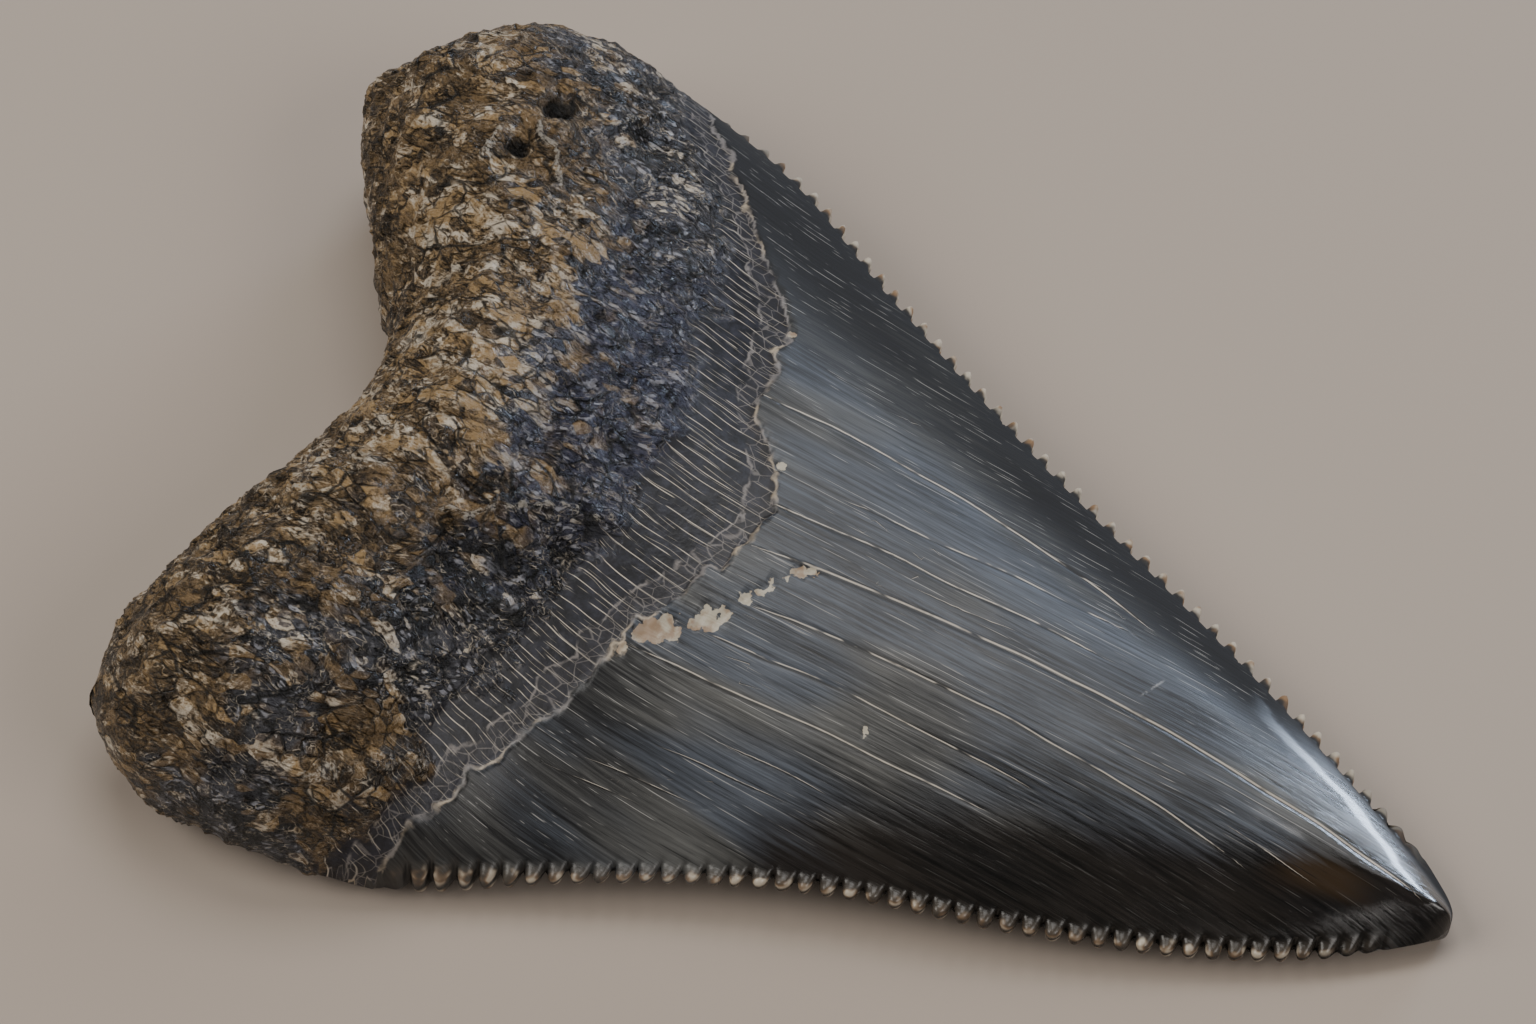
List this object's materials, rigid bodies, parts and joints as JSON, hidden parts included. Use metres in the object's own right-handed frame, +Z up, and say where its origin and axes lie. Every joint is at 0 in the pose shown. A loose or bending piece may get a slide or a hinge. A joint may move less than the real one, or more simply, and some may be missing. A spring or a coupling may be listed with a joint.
{
  "type": "megalodon tooth",
  "caption": "Fossil shark tooth: a broad triangular blade with serrated cutting edges on a thick two-lobed root, lying flat on its labial face.",
  "frame": {"origin": "under the middle of the tooth's box, on the surface that it lies on", "axes": "+X from the root to the tip, +Y across the blade, +Z up, out of the domed lingual face"},
  "size_m": [0.1506, 0.108, 0.0266],
  "materials": {
    "fossil_tooth": "mineralised tooth: glossy dark slate enamel with fine pale cracks, over a rough black and ochre root"
  },
  "bodies": {
    "root": {"tooth": "fossil_tooth"}
  },
  "joints": []
}
